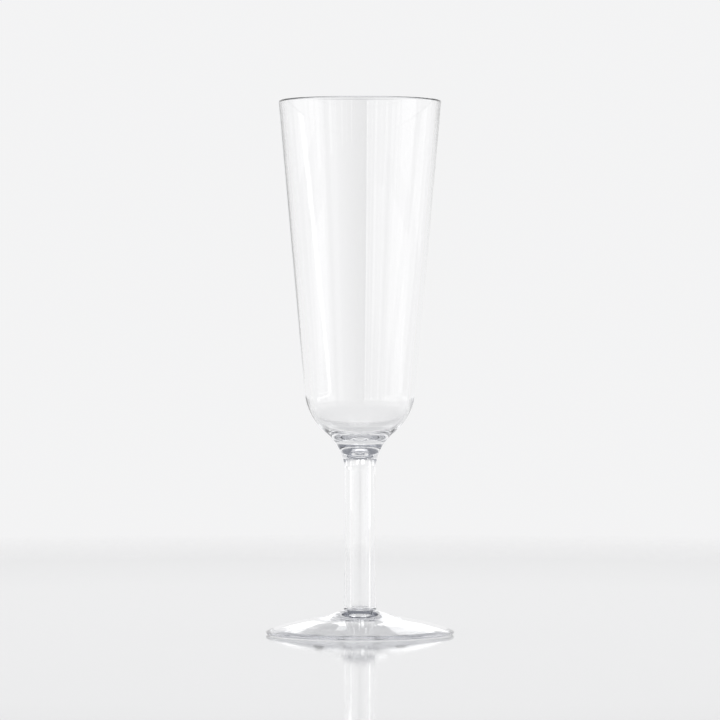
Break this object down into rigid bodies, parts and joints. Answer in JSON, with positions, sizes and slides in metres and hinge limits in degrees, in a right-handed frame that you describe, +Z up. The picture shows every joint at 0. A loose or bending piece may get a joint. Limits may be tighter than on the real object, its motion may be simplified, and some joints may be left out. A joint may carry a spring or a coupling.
{
  "type": "champagne flute",
  "caption": "Tall stemmed drinking flute in clear plastic: a tapered, round-bottomed bowl and hollow stem in one, bonded to a shallow domed foot.",
  "frame": {"origin": "on the table, under the centre of the foot", "axes": "+Z up, along the flute's axis from the foot to the rim; the shape is round about Z, so X and Y are free"},
  "size_m": [0.0704, 0.0704, 0.2],
  "materials": {
    "clear_plastic": "clear, polished, faintly violet where it is thick",
    "clear_adhesive": "clear bonding adhesive, index-matched to the plastic"
  },
  "bodies": {
    "root": {"bowl_stem": "clear_plastic", "foot": "clear_plastic", "foot_bond": "clear_adhesive"}
  },
  "joints": []
}
